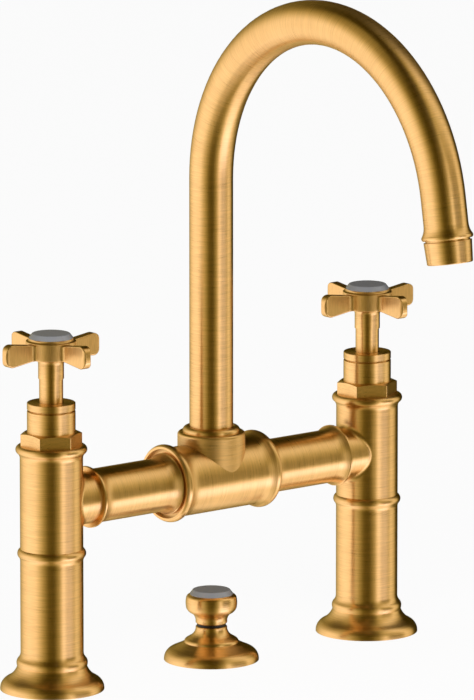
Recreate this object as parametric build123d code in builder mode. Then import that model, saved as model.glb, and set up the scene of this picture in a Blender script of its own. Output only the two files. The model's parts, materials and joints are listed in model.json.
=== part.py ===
from build123d import *
import math
import os

# Two-handle basin mixer with a bridge and a gooseneck spout.
# X runs along the bridge, the spout reaches towards -Y, and Z is up from the deck.
# The origin is on the deck, midway between the two pillars.

# Overall layout
pillar_pitch = 200.0
port_height = 22.3
bend_radius = 86.87
bend_angle = 170.48
riser_length = 125.62

# Fits and gaps
thread_fit = 0.05
slide_fit = 0.05
running_fit = 0.08
film = 0.03
body_gap = 0.3

# Base flange
flange_height = 11.35
rim_radius = 25.3
rim_height = 0.35
rim_round = 5.6
rim_turn = 63.4
neck_radius = 16.95
seal_inner = 18.5
seal_outer = 23.5
seal_thickness = 1.0
seal_side_gap = 0.1

# Column
column_height = 58.2
tail_radius = 14.2
pillar_radius = 15.3
foot_bead_radius = 17.3
foot_bead_rise = 1.9
foot_bead_round = 2.8
foot_cove = 4.6
joint_bead_radius = 16.69
joint_bead_drop = 2.4
joint_bead_round = 2.3
joint_cove = 3.4
inlet_radius = 7.475
inlet_depth = 12.0
throat_radius = 6.0
throat_length = 2.5
column_bore = 11.5
joint_spigot_radius = 12.2
joint_spigot_length = 8.0

# Valve body
body_height = 51.0
top_bead_radius = 17.38
top_bead_round = 2.1
top_cove = 3.4
waterway_radius = 6.0
seat_height = 8.0
guide_radius = 10.0
guide_length = 4.0
chamber_radius = 11.5
chamber_length = 20.0
nut_thread_radius = 12.5
nut_thread_depth = 13.0
stub_radius = 12.8
stub_reach = 21.6
stub_fillet = 3.0
port_radius = 8.0
union_spigot_radius = 10.95
union_spigot_length = 8.0

# Bonnet
nut_flats = 26.2
nut_height = 6.4
nut_face_radius = 12.7
nut_face_drop = 0.9
nut_corner_round = 0.5
nut_skirt_length = 10.0
sleeve_radius = 11.75
sleeve_height = 10.5
bonnet_groove = 0.6
bonnet_groove_depth = 1.1
bonnet_cap_height = 3.5
bonnet_edge = 0.25
clip_room_radius = 9.6
clip_room_depth = 4.9
cap_spigot_length = 1.9

# Ceramic cartridge
barrel_wall = 1.35
barrel_lift = 1.0
barrel_top_wall = 14.5
cartridge_flange_radius = 12.4
cartridge_flange_height = 3.0
cartridge_neck_radius = 8.0
cartridge_neck_top = 13.0
window_width = 8.0
window_height = 6.5
window_drop = 1.0
seat_seal_bore = 5.6
seat_seal_height = 3.5
disc_radius = 8.5
fixed_disc_height = 3.0
moving_disc_height = 3.0
disc_port_radius = 2.0
disc_port_offset = 4.8

# Spindle and handle
spindle_radius = 4.0
driver_radius = 6.2
driver_gap = 0.1
spline_radius = 3.5
spline_length = 24.0
spindle_top_step = 2.0
spindle_ring_section = 0.95
spindle_ring_low = 6.5
spindle_ring_pitch = 5.0
clip_thickness = 0.8
clip_radius = 5.6
clip_depth = 0.6
clip_opening = 5.0
adapter_radius = 5.8
adapter_exposed = 11.8
adapter_spigot_radius = 4.9
adapter_spigot_length = 4.7
handle_neck_radius = 6.25
handle_neck_height = 10.1
handle_cove = 3.0
hub_radius = 12.2
hub_height = 8.5
hub_edge = 0.45
cap_ledge_radius = 10.8
cap_ledge_height = 1.3
arm_reach = 28.8
arm_bulge = 0.9
arm_half_width = 2.3
arm_mid_height = 3.75
arm_root_half_height = 2.2
arm_tip_half_height = 6.0
arm_tip_round = 3.9
arm_end_round = 2.2
arm_end_spare = 0.3
arm_start = 9.0
arm_root_fillet = 2.4
arm_edge = 0.6
screw_radius = 2.0
screw_head_radius = 3.8
screw_head_height = 2.8
screw_web = 7.5
screw_engagement = 10.0
handle_cap_radius = 10.66
handle_cap_height = 2.25
cap_lip = 0.35
cap_bevel_in = 1.4
cap_edge = 0.5
cap_spigot_radius = 8.0
cap_spigot_depth = 2.0

# Bridge tubes
tube_radius = 13.19
tube_bore = 9.5
lip_radius = 15.1
lip_thickness = 1.5
lip_edge = 0.35
lip_cove_length = 5.8
tee_lip_thickness = 2.6
tee_spigot_radius = 11.9
tee_spigot_length = 10.0
union_ring_section = 1.7
groove_side = 0.15

# Tee
tee_half_length = 30.0
tee_radius = 17.2
tee_cove_start = 20.5
tee_cove_end = 26.3
tee_cove_radius = 18.7
tee_bead_radius = 19.15
tee_bead_middle = 28.2
tee_face_radius = 18.2
recess_radius = 17.1
recess_depth = 2.5
tee_bore = 9.5
socket_radius = 16.6
socket_height = 22.5
socket_edge = 1.5
collar_thread_depth = 7.8
spigot_seat_drop = 17.5
spigot_waterway = 8.0

# Spout
spout_radius = 10.72
spout_bore = 9.5
collar_radius = 14.03
collar_rise = 2.6
collar_round = 2.0
collar_lip = 0.5
spigot_radius = 12.05
spigot_flange_drop = 1.0
spigot_bore = 7.6
spigot_upper_length = 12.0
spigot_ring_section = 1.3
spigot_ring_low = 1.35
spigot_ring_pitch = 1.95
slide_ring_thickness = 0.9
stop_screw_radius = 1.1
stop_screw_drop = 2.3
stop_slot_height = 2.8
stop_slot_depth = 1.5
stop_swing = 60.0

# Spout outlet, measured along the straight tip below the bend
outlet_cove_start = 13.0
outlet_cove_end = 17.75
outlet_cove_radius = 12.0
outlet_bead_radius = 12.38
outlet_bead_middle = 18.75
outlet_end = 19.85
outlet_end_radius = 11.85
aerator_thread_radius = 10.15
aerator_thread_length = 4.2
aerator_groove_radius = 10.7
aerator_groove_width = 0.8
shell_top_radius = 11.57
shell_bottom_radius = 10.95
shell_length = 10.8
shell_bore = 9.4
shell_lip_radius = 8.9
shell_lip_height = 1.3
shell_edge = 0.35
washer_bore = 8.0
washer_thickness = 1.2
jet_radius = 0.9
jet_inner_circle = 3.4
jet_outer_circle = 6.8

# Pop-up waste pull
escutcheon_radius = 23.34
escutcheon_rim = 0.4
escutcheon_round = 5.7
escutcheon_turn = 67.4
step_radius = 13.45
step_height = 8.75
step_round = 2.0
step_turn = 59.2
slope_radius = 10.4
slope_height = 11.7
turret_radius = 7.75
turret_cove_top = 15.5
turret_height = 16.75
turret_edge = 0.3
escutcheon_hollow_radius = 12.0
escutcheon_hollow_height = 5.0
popup_seal_inner = 15.5
popup_seal_outer = 20.5
bush_radius = 5.0
rod_radius = 3.0
rod_socket_radius = 1.65
rod_socket_depth = 8.0
buffer_radius = 7.1
buffer_thickness = 1.4
knob_foot_radius = 7.78
knob_foot_height = 1.4
knob_foot_edge = 0.5
knob_waist_radius = 9.9
knob_waist_height = 5.15
knob_bowl_low_radius = 11.4
knob_bowl_low_height = 6.2
knob_bowl_side_radius = 12.35
knob_bowl_side_height = 7.6
knob_radius = 12.68
knob_middle_height = 10.3
knob_shoulder_radius = 12.43
knob_shoulder_height = 12.8
knob_round_radius = 12.13
knob_round_height = 13.55
knob_brow_radius = 11.5
knob_brow_height = 14.1
knob_height = 14.6
knob_hole_depth = 9.0
knob_cap_radius = 10.6
knob_cap_height = 2.3

# Heights above the deck, stacked from the driving dimensions
column_base = flange_height
body_base = column_base + column_height
bridge_axis = body_base + port_height
nut_base = body_base + body_height
sleeve_base = nut_base + nut_height
sleeve_top = sleeve_base + sleeve_height
bonnet_cap_base = sleeve_top + bonnet_groove
bonnet_top = bonnet_cap_base + bonnet_cap_height
handle_base = bonnet_top + adapter_exposed
hub_base = handle_base + handle_neck_height
hub_top = hub_base + hub_height
handle_top = hub_top + cap_ledge_height
socket_top = bridge_axis + socket_height
bend_start = socket_top + riser_length

# Cartridge heights, stacked from the seat in the valve body
seat = body_base + seat_height
flange_seat = nut_base - nut_thread_depth
barrel_radius = guide_radius - slide_fit
barrel_bore = barrel_radius - barrel_wall
fixed_disc_base = seat + seat_seal_height
disc_face = fixed_disc_base + fixed_disc_height
moving_disc_base = disc_face + film
driver_base = moving_disc_base + moving_disc_height
barrel_roof = flange_seat - barrel_top_wall
neck_top = nut_base + cartridge_neck_top
clip_base = neck_top + clip_thickness / 8
spline_base = clip_base + clip_thickness + 1.1
spline_top = spline_base + spline_length
neck_bore_radius = spindle_radius + slide_fit

# Spout heights and directions
collar_base = socket_top - collar_thread_depth
spigot_flange_top = collar_base - spigot_flange_drop
spigot_seat = socket_top - spigot_seat_drop
stop_height = spigot_flange_top - stop_screw_drop
swing = math.radians(bend_angle)
bend_end = Vector(0, -bend_radius * (1 - math.cos(swing)), bend_start + bend_radius * math.sin(swing))
tip_direction = Vector(0, -math.sin(swing), math.cos(swing))


def turning_plane(origin, radial, axis):
    """Plane with its local X along the radius and its local Y along the turning axis."""
    return Plane(origin=origin, x_dir=radial, z_dir=Vector(radial).cross(Vector(axis)))


def turning_axis(plane):
    return Axis(plane.origin, plane.y_dir)


def upright(x):
    return turning_plane((x, 0, 0), (1, 0, 0), (0, 0, 1))


def branch(x, inward):
    """Turning plane of a bridge tube, measured from a pillar's axis towards the tee."""
    return turning_plane((x, 0, bridge_axis), (0, 0, 1), (inward, 0, 0))


tip = turning_plane(bend_end, (1, 0, 0), tip_direction)


def turned(plane, *points):
    """Solid turned from a closed outline of straight lines."""
    with BuildPart() as piece:
        with BuildSketch(plane):
            with BuildLine():
                Polyline(*points, close=True)
            make_face()
        revolve(axis=turning_axis(plane))
    return piece


def ring(plane, inner, outer, low, high):
    return turned(plane, (inner, low), (outer, low), (outer, high), (inner, high))


def bead_turn(stem, bead, bead_round, cove):
    """Angle at which a bead's round meets the cove that joins it to its stem."""
    return math.degrees(math.acos((stem + cove - bead + bead_round) / (bead_round + cove)))


def bead_reach(stem, bead, bead_round, cove):
    """Distance along the stem from the bead's middle to the start of its cove."""
    turn = math.radians(bead_turn(stem, bead, bead_round, cove))
    return (bead_round + cove) * math.sin(turn)


def ring_centre(bore, section):
    """Middle radius of a round sealing ring that lies against a bore."""
    return bore - film - section / 2


def groove_floor(bore, section):
    return ring_centre(bore, section) - section / 2 - film


def keep(piece, name):
    piece.part.label = name
    export_step(piece.part, f"parts/{name}.step")


def o_rings(plane, bore, section, places):
    """Round sealing rings, one at each place along the axis."""
    with BuildPart() as rings:
        with BuildSketch(plane):
            with Locations(*[(ring_centre(bore, section), place) for place in places]):
                Circle(section / 2)
        revolve(axis=turning_axis(plane))
    return rings


def base_flange(x):
    plane = upright(x)
    bore = tail_radius + thread_fit
    groove_inner = seal_inner - seal_side_gap
    groove_outer = seal_outer + seal_side_gap
    with BuildPart() as flange:
        with BuildSketch(plane):
            with BuildLine():
                rim = JernArc((rim_radius, rim_height), (0, 1), rim_round, rim_turn)
                slope = TangentArc(rim @ 1, (neck_radius, flange_height), tangent=rim % 1)
                Polyline(
                    slope @ 1,
                    (bore, flange_height),
                    (bore, 0),
                    (groove_inner, 0),
                    (groove_inner, seal_thickness),
                    (groove_outer, seal_thickness),
                    (groove_outer, 0),
                    (rim_radius, 0),
                    rim @ 0,
                )
            make_face()
        revolve(axis=turning_axis(plane))
    return flange


def column(x):
    plane = upright(x)
    foot_turn = bead_turn(pillar_radius, foot_bead_radius, foot_bead_round, foot_cove)
    joint_turn = bead_turn(pillar_radius, joint_bead_radius, joint_bead_round, joint_cove)
    joint_reach = bead_reach(pillar_radius, joint_bead_radius, joint_bead_round, joint_cove)
    joint_middle = body_base - joint_bead_drop
    socket = joint_spigot_radius + thread_fit
    cavity = inlet_depth + throat_length
    with BuildPart() as tube:
        with BuildSketch(plane):
            with BuildLine():
                foot_middle = (foot_bead_radius, column_base + foot_bead_rise)
                TangentArc(foot_middle, (neck_radius, column_base), tangent=(0, -1))
                foot = JernArc(foot_middle, (0, 1), foot_bead_round, foot_turn)
                foot_blend = JernArc(foot @ 1, foot % 1, foot_cove, -foot_turn)
                rise = Line(foot_blend @ 1, (pillar_radius, joint_middle - joint_reach))
                joint_blend = JernArc(rise @ 1, (0, 1), joint_cove, -joint_turn)
                joint = JernArc(joint_blend @ 1, joint_blend % 1, joint_bead_round, joint_turn)
                crown = TangentArc(joint @ 1, (pillar_radius, body_base), tangent=(0, 1))
                Polyline(
                    crown @ 1,
                    (socket, body_base),
                    (socket, body_base - joint_spigot_length),
                    (column_bore, body_base - joint_spigot_length),
                    (column_bore, cavity),
                    (throat_radius, cavity),
                    (throat_radius, inlet_depth),
                    (inlet_radius, inlet_depth),
                    (inlet_radius, 0),
                    (tail_radius, 0),
                    (tail_radius, column_base),
                    (neck_radius, column_base),
                )
            make_face()
        revolve(axis=turning_axis(plane))
    return tube


def valve_body(x, inward):
    plane = upright(x)
    side = branch(x, inward)
    turn = bead_turn(pillar_radius, top_bead_radius, top_bead_round, top_cove)
    reach = bead_reach(pillar_radius, top_bead_radius, top_bead_round, top_cove)
    bead_middle = nut_base - top_bead_round
    chamber_low = seat + guide_length
    thread = nut_thread_radius + thread_fit
    spigot_end = stub_reach + union_spigot_length
    groove_width = union_ring_section + 2 * groove_side
    groove_middle = stub_reach + union_spigot_length / 2
    union_bore = union_spigot_radius + slide_fit
    with BuildPart() as body:
        with BuildSketch(plane):
            with BuildLine():
                spigot = Polyline(
                    (0, nut_base),
                    (0, body_base - joint_spigot_length),
                    (joint_spigot_radius, body_base - joint_spigot_length),
                    (joint_spigot_radius, body_base),
                    (pillar_radius, body_base),
                    (pillar_radius, bead_middle - reach),
                )
                cove = JernArc(spigot @ 1, (0, 1), top_cove, -turn)
                lower = JernArc(cove @ 1, cove % 1, top_bead_round, turn)
                upper = JernArc(lower @ 1, (0, 1), top_bead_round, 90)
                Line(upper @ 1, spigot @ 0)
            make_face()
        revolve(axis=turning_axis(plane))
        with BuildSketch(side):
            with BuildLine():
                Polyline((0, 0), (stub_radius, 0), (stub_radius, stub_reach), (0, stub_reach), close=True)
            make_face()
        revolve(axis=turning_axis(side))
        fillet(body.edges().filter_by(GeomType.BSPLINE), stub_fillet)
        with BuildSketch(side):
            with BuildLine():
                Polyline(
                    (0, stub_reach - stub_fillet),
                    (union_spigot_radius, stub_reach - stub_fillet),
                    (union_spigot_radius, groove_middle - groove_width / 2),
                    (groove_floor(union_bore, union_ring_section), groove_middle - groove_width / 2),
                    (groove_floor(union_bore, union_ring_section), groove_middle + groove_width / 2),
                    (union_spigot_radius, groove_middle + groove_width / 2),
                    (union_spigot_radius, spigot_end),
                    (0, spigot_end),
                    close=True,
                )
            make_face()
        revolve(axis=turning_axis(side))
        with BuildSketch(plane):
            with BuildLine():
                Polyline(
                    (0, body_base - joint_spigot_length),
                    (waterway_radius, body_base - joint_spigot_length),
                    (waterway_radius, seat),
                    (guide_radius, seat),
                    (guide_radius, chamber_low),
                    (chamber_radius, chamber_low),
                    (chamber_radius, chamber_low + chamber_length),
                    (guide_radius, chamber_low + chamber_length),
                    (guide_radius, flange_seat),
                    (thread, flange_seat),
                    (thread, nut_base),
                    (0, nut_base),
                    close=True,
                )
            make_face()
        revolve(axis=turning_axis(plane), mode=Mode.SUBTRACT)
        with BuildSketch(side):
            with BuildLine():
                Polyline((0, 0), (port_radius, 0), (port_radius, spigot_end), (0, spigot_end), close=True)
            make_face()
        revolve(axis=turning_axis(side), mode=Mode.SUBTRACT)
    return body


def bonnet_nut(x):
    plane = upright(x)
    corner = nut_flats / 2 / math.cos(math.pi / 6)
    bore = cartridge_neck_radius + thread_fit
    skirt_base = nut_base - nut_skirt_length
    with BuildPart() as nut:
        with BuildSketch(Plane(origin=(x, 0, nut_base))):
            hexagon = RegularPolygon(nut_flats / 2, 6, major_radius=False, rotation=30)
            fillet(hexagon.vertices(), nut_corner_round)
        extrude(amount=nut_height)
        with BuildSketch(plane):
            with BuildLine():
                Polyline(
                    (0, nut_base),
                    (corner, nut_base),
                    (corner, sleeve_base - nut_face_drop),
                    (nut_face_radius, sleeve_base),
                    (0, sleeve_base),
                    close=True,
                )
            make_face()
        revolve(axis=turning_axis(plane), mode=Mode.INTERSECT)
        with BuildSketch(Plane(origin=(x, 0, skirt_base))):
            Circle(nut_thread_radius)
        extrude(amount=nut_skirt_length)
        with BuildSketch(Plane(origin=(x, 0, skirt_base))):
            Circle(bore)
        extrude(amount=nut_skirt_length + nut_height, mode=Mode.SUBTRACT)
    return nut


def bonnet_sleeve(x):
    bore = cartridge_neck_radius + thread_fit
    room_base = sleeve_top - clip_room_depth
    return turned(
        upright(x),
        (bore, sleeve_base),
        (sleeve_radius, sleeve_base),
        (sleeve_radius, sleeve_top - bonnet_edge),
        (sleeve_radius - bonnet_edge, sleeve_top),
        (clip_room_radius, sleeve_top),
        (clip_room_radius, room_base),
        (bore, room_base),
    )


def bonnet_cap(x):
    bore = adapter_radius + body_gap
    groove = sleeve_radius - bonnet_groove_depth
    spigot = clip_room_radius - slide_fit
    return turned(
        upright(x),
        (bore, sleeve_top - cap_spigot_length),
        (spigot, sleeve_top - cap_spigot_length),
        (spigot, sleeve_top),
        (groove, sleeve_top),
        (groove, bonnet_cap_base),
        (sleeve_radius - bonnet_edge, bonnet_cap_base),
        (sleeve_radius, bonnet_cap_base + bonnet_edge),
        (sleeve_radius, bonnet_top - bonnet_edge),
        (sleeve_radius - bonnet_edge, bonnet_top),
        (bore, bonnet_top),
    )


def cartridge_body(x):
    plane = upright(x)
    window_middle = barrel_roof - window_drop - window_height / 2
    with BuildPart() as cartridge:
        with BuildSketch(plane):
            with BuildLine():
                Polyline(
                    (barrel_bore, seat + barrel_lift),
                    (barrel_radius, seat + barrel_lift),
                    (barrel_radius, flange_seat),
                    (cartridge_flange_radius, flange_seat),
                    (cartridge_flange_radius, flange_seat + cartridge_flange_height),
                    (cartridge_neck_radius, flange_seat + cartridge_flange_height),
                    (cartridge_neck_radius, neck_top),
                    (neck_bore_radius, neck_top),
                    (neck_bore_radius, barrel_roof),
                    (barrel_bore, barrel_roof),
                    close=True,
                )
            make_face()
        revolve(axis=turning_axis(plane))
        with BuildSketch(Plane(origin=(x, 0, window_middle - window_height / 2))):
            Rectangle(3 * barrel_radius, window_width)
            Rectangle(window_width, 3 * barrel_radius)
        extrude(amount=window_height, mode=Mode.SUBTRACT)
    return cartridge


def ceramic_disc(x, base, height, radius, port_angle):
    """Disc with two ports on a line through its centre."""
    with BuildPart() as disc:
        with BuildSketch(Plane(origin=(x, 0, base))):
            Circle(radius)
            with PolarLocations(disc_port_offset, 2, start_angle=port_angle):
                Circle(disc_port_radius, mode=Mode.SUBTRACT)
        extrude(amount=height)
    return disc


def spindle(x):
    clip_floor = spindle_radius - clip_depth
    floor = groove_floor(neck_bore_radius, spindle_ring_section)
    half_width = spindle_ring_section / 2 + groove_side
    first = barrel_roof + spindle_ring_low
    second = first + spindle_ring_pitch
    bolt_hole = screw_radius + thread_fit
    hole_base = spline_top - screw_engagement - spindle_top_step
    return turned(
        upright(x),
        (0, driver_base),
        (driver_radius, driver_base),
        (driver_radius, barrel_roof - driver_gap),
        (spindle_radius, barrel_roof - driver_gap),
        (spindle_radius, first - half_width),
        (floor, first - half_width),
        (floor, first + half_width),
        (spindle_radius, first + half_width),
        (spindle_radius, second - half_width),
        (floor, second - half_width),
        (floor, second + half_width),
        (spindle_radius, second + half_width),
        (spindle_radius, clip_base),
        (clip_floor, clip_base),
        (clip_floor, clip_base + clip_thickness),
        (spindle_radius, clip_base + clip_thickness),
        (spindle_radius, spline_base),
        (spline_radius, spline_base),
        (spline_radius, spline_top),
        (bolt_hole, spline_top),
        (bolt_hole, hole_base),
        (0, hole_base),
    )


def spindle_clip(x):
    """Open spring clip in the spindle's groove."""
    with BuildPart() as clip:
        with BuildSketch(Plane(origin=(x, 0, clip_base))):
            Circle(clip_radius)
            Circle(spindle_radius - clip_depth + film, mode=Mode.SUBTRACT)
            with Locations((0, clip_radius)):
                Rectangle(clip_opening, 2 * clip_radius, mode=Mode.SUBTRACT)
        extrude(amount=clip_thickness)
    return clip


def handle_adapter(x):
    bore = spline_radius + slide_fit
    return turned(
        upright(x),
        (bore, spline_base),
        (adapter_radius, spline_base),
        (adapter_radius, handle_base),
        (adapter_spigot_radius, handle_base),
        (adapter_spigot_radius, handle_base + adapter_spigot_length),
        (bore, handle_base + adapter_spigot_length),
    )


def handle_arm():
    """One arm along +X of a handle on the Z axis, with the fillets that join it to the drum."""
    middle = hub_base + arm_mid_height
    with BuildPart() as arm:
        with BuildSketch(Plane(origin=(0, 0, middle - 2 * arm_tip_half_height))) as plan:
            Circle(hub_radius)
            Rectangle(arm_reach + arm_end_spare, 2 * arm_half_width, align=(Align.MIN, Align.CENTER))
            corners = plan.vertices().filter_by_position(Axis.X, arm_start, hub_radius)
            fillet(corners.filter_by_position(Axis.Y, -2 * arm_half_width, 2 * arm_half_width), arm_root_fillet)
            fillet(plan.vertices().group_by(Axis.X)[-1], arm_end_round)
            with Locations((arm_start, 0)):
                Rectangle(
                    2 * arm_reach,
                    2 * hub_radius,
                    align=(Align.MIN, Align.CENTER),
                    mode=Mode.INTERSECT,
                )
        extrude(amount=4 * arm_tip_half_height)
        with BuildSketch(Plane.XZ):
            with BuildLine():
                low = Line(
                    (0, middle - arm_root_half_height),
                    (arm_reach - arm_bulge, middle - arm_tip_half_height),
                )
                end = ThreePointArc(
                    low @ 1,
                    (arm_reach, middle),
                    (arm_reach - arm_bulge, middle + arm_tip_half_height),
                )
                Polyline(end @ 1, (0, middle + arm_root_half_height), low @ 0)
            face = make_face()
            fillet(face.vertices().group_by(Axis.X)[-1], arm_tip_round)
        extrude(amount=hub_radius, both=True, mode=Mode.INTERSECT)
        inner_face = arm.faces().sort_by(Axis.X)[0]
        fillet(arm.edges() - inner_face.edges() - arm.edges().filter_by(Axis.Z), arm_edge)
    return arm


def handle_cross(x):
    plane = upright(x)
    arm = handle_arm()
    adapter_bore = adapter_spigot_radius + slide_fit
    adapter_seat = handle_base + adapter_spigot_length
    web_base = spline_top + film
    head_seat = web_base + screw_web
    head_bore = cap_spigot_radius + slide_fit
    with BuildPart() as cross:
        with BuildSketch(plane):
            with BuildLine():
                neck = Polyline(
                    (0, handle_top),
                    (0, handle_base),
                    (handle_neck_radius, handle_base),
                    (handle_neck_radius, hub_base - handle_cove),
                )
                cove = JernArc(neck @ 1, (0, 1), handle_cove, -90)
                under = Line(cove @ 1, (hub_radius - hub_edge, hub_base))
                low_edge = JernArc(under @ 1, (1, 0), hub_edge, 90)
                wall = Line(low_edge @ 1, (hub_radius, hub_top - hub_edge))
                top_edge = JernArc(wall @ 1, (0, 1), hub_edge, 90)
                ledge = TangentArc(top_edge @ 1, (cap_ledge_radius, handle_top), tangent=(-1, 0))
                Line(ledge @ 1, neck @ 0)
            make_face()
        revolve(axis=turning_axis(plane))
        with Locations((x, 0, 0)):
            with PolarLocations(0, 4):
                add(arm.part)
        with BuildSketch(plane):
            with BuildLine():
                Polyline(
                    (0, handle_base),
                    (adapter_bore, handle_base),
                    (adapter_bore, adapter_seat),
                    (spline_radius + slide_fit, adapter_seat),
                    (spline_radius + slide_fit, web_base),
                    (screw_radius + slide_fit, web_base),
                    (screw_radius + slide_fit, head_seat),
                    (head_bore, head_seat),
                    (head_bore, handle_top),
                    (0, handle_top),
                    close=True,
                )
            make_face()
        revolve(axis=turning_axis(plane), mode=Mode.SUBTRACT)
    return cross


def porcelain_cap(x, base, radius, height):
    """Round cap with a bevelled edge and a spigot below."""
    plane = upright(x)
    with BuildPart() as cap:
        with BuildSketch(plane):
            with BuildLine():
                outline = Polyline(
                    (0, base - cap_spigot_depth),
                    (cap_spigot_radius, base - cap_spigot_depth),
                    (cap_spigot_radius, base),
                    (radius, base),
                    (radius, base + cap_lip),
                    (radius - cap_bevel_in, base + height - cap_edge / 3),
                )
                crown = TangentArc(
                    (radius - cap_bevel_in - cap_edge, base + height),
                    outline @ 1,
                    tangent=(1, 0),
                )
                Polyline(crown @ 0, (0, base + height), outline @ 0)
            make_face()
        revolve(axis=turning_axis(plane))
    return cap


def cap_screw(x):
    """Handle screw: shank up to the web, and a head with a hexagon socket."""
    head_seat = spline_top + film + screw_web
    shank_base = spline_top - screw_engagement
    with BuildPart() as screw:
        with BuildSketch(Plane(origin=(x, 0, shank_base))):
            Circle(screw_radius)
        extrude(amount=head_seat - shank_base)
        with BuildSketch(Plane(origin=(x, 0, head_seat))):
            Circle(screw_head_radius)
        extrude(amount=screw_head_height)
        with BuildSketch(Plane(origin=(x, 0, head_seat + screw_head_height))):
            RegularPolygon(screw_radius, 6)
        extrude(amount=-screw_head_height / 2, mode=Mode.SUBTRACT)
    return screw


def bridge_tube(x, inward):
    plane = branch(x, inward)
    far_face = pillar_pitch / 2 - tee_half_length + recess_depth
    spigot_end = far_face + tee_spigot_length
    union_bore = union_spigot_radius + slide_fit
    tee_socket = tee_spigot_radius + slide_fit
    groove_middle = far_face + tee_spigot_length / 2
    half_groove = union_ring_section / 2 + groove_side
    near_cove = stub_reach + lip_thickness
    far_cove = far_face - tee_lip_thickness
    floor = groove_floor(tee_socket, union_ring_section)
    with BuildPart() as tube:
        with BuildSketch(plane):
            with BuildLine():
                near = TangentArc(
                    (tube_radius, near_cove + lip_cove_length),
                    (lip_radius - lip_edge, near_cove),
                    tangent=(0, -1),
                )
                far = TangentArc(
                    (tube_radius, far_cove - lip_cove_length),
                    (lip_radius - lip_edge, far_cove),
                    tangent=(0, 1),
                )
                Line(near @ 0, far @ 0)
                Polyline(
                    far @ 1,
                    (lip_radius, far_cove + lip_edge),
                    (lip_radius, far_face),
                    (tee_spigot_radius, far_face),
                    (tee_spigot_radius, groove_middle - half_groove),
                    (floor, groove_middle - half_groove),
                    (floor, groove_middle + half_groove),
                    (tee_spigot_radius, groove_middle + half_groove),
                    (tee_spigot_radius, spigot_end),
                    (tube_bore, spigot_end),
                    (tube_bore, stub_reach + union_spigot_length + lip_edge),
                    (union_bore, stub_reach + union_spigot_length + lip_edge),
                    (union_bore, stub_reach),
                    (lip_radius - lip_edge, stub_reach),
                    (lip_radius, stub_reach + lip_edge),
                    (lip_radius, near_cove - lip_edge),
                    near @ 1,
                )
            make_face()
        revolve(axis=turning_axis(plane))
    return tube


def bridge_tee():
    along = turning_plane((0, 0, bridge_axis), (0, 0, 1), (1, 0, 0))
    plane = upright(0)
    recess_floor = tee_half_length - recess_depth
    socket_bore = tee_spigot_radius + slide_fit
    spigot_room = recess_floor - tee_spigot_length - lip_edge
    collar_bore = collar_radius + thread_fit
    spout_bore_radius = spigot_radius + slide_fit
    with BuildPart() as tee:
        with BuildSketch(along):
            with BuildLine():
                wall = Line((tee_radius, -tee_cove_start), (tee_radius, tee_cove_start))
                ends = []
                for start, sign in ((wall @ 0, -1), (wall @ 1, 1)):
                    cove = TangentArc(start, (tee_cove_radius, sign * tee_cove_end), tangent=(0, sign))
                    bead = ThreePointArc(
                        cove @ 1,
                        (tee_bead_radius, sign * tee_bead_middle),
                        (tee_face_radius, sign * tee_half_length),
                    )
                    ends.append(bead @ 1)
                Polyline(ends[0], (0, -tee_half_length), (0, tee_half_length), ends[1])
            make_face()
        revolve(axis=turning_axis(along))
        with BuildSketch(plane):
            with BuildLine():
                side = Line((socket_radius, bridge_axis), (socket_radius, socket_top - socket_edge))
                edge = JernArc(side @ 1, (0, 1), socket_edge, 90)
                Polyline(edge @ 1, (0, socket_top), (0, bridge_axis), side @ 0)
            make_face()
        revolve(axis=turning_axis(plane))
        with BuildSketch(along):
            with BuildLine():
                Polyline(
                    (0, -tee_half_length),
                    (recess_radius, -tee_half_length),
                    (recess_radius, -recess_floor),
                    (socket_bore, -recess_floor),
                    (socket_bore, -spigot_room),
                    (tee_bore, -spigot_room),
                    (tee_bore, spigot_room),
                    (socket_bore, spigot_room),
                    (socket_bore, recess_floor),
                    (recess_radius, recess_floor),
                    (recess_radius, tee_half_length),
                    (0, tee_half_length),
                    close=True,
                )
            make_face()
        revolve(axis=turning_axis(along), mode=Mode.SUBTRACT)
        with BuildSketch(plane):
            with BuildLine():
                Polyline(
                    (0, bridge_axis),
                    (spigot_waterway, bridge_axis),
                    (spigot_waterway, spigot_seat),
                    (spout_bore_radius, spigot_seat),
                    (spout_bore_radius, collar_base),
                    (collar_bore, collar_base),
                    (collar_bore, socket_top),
                    (0, socket_top),
                    close=True,
                )
            make_face()
        revolve(axis=turning_axis(plane), mode=Mode.SUBTRACT)
        with BuildSketch(Plane(origin=(0, 0, stop_height), x_dir=(1, 0, 0), z_dir=(0, 1, 0))):
            Circle(stop_screw_radius + thread_fit)
        extrude(amount=socket_radius + socket_edge, mode=Mode.SUBTRACT)
    return tee


def swivel_collar():
    plane = upright(0)
    bore = spout_radius + running_fit
    top = socket_top + collar_rise
    with BuildPart() as collar:
        with BuildSketch(plane):
            with BuildLine():
                side = Line((collar_radius, collar_base), (collar_radius, top - collar_round))
                shoulder = JernArc(side @ 1, (0, 1), collar_round, 90)
                Polyline(
                    shoulder @ 1,
                    (bore + collar_lip, top),
                    (bore, top - collar_lip),
                    (bore, collar_base),
                    side @ 0,
                )
            make_face()
        revolve(axis=turning_axis(plane))
    return collar


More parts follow.
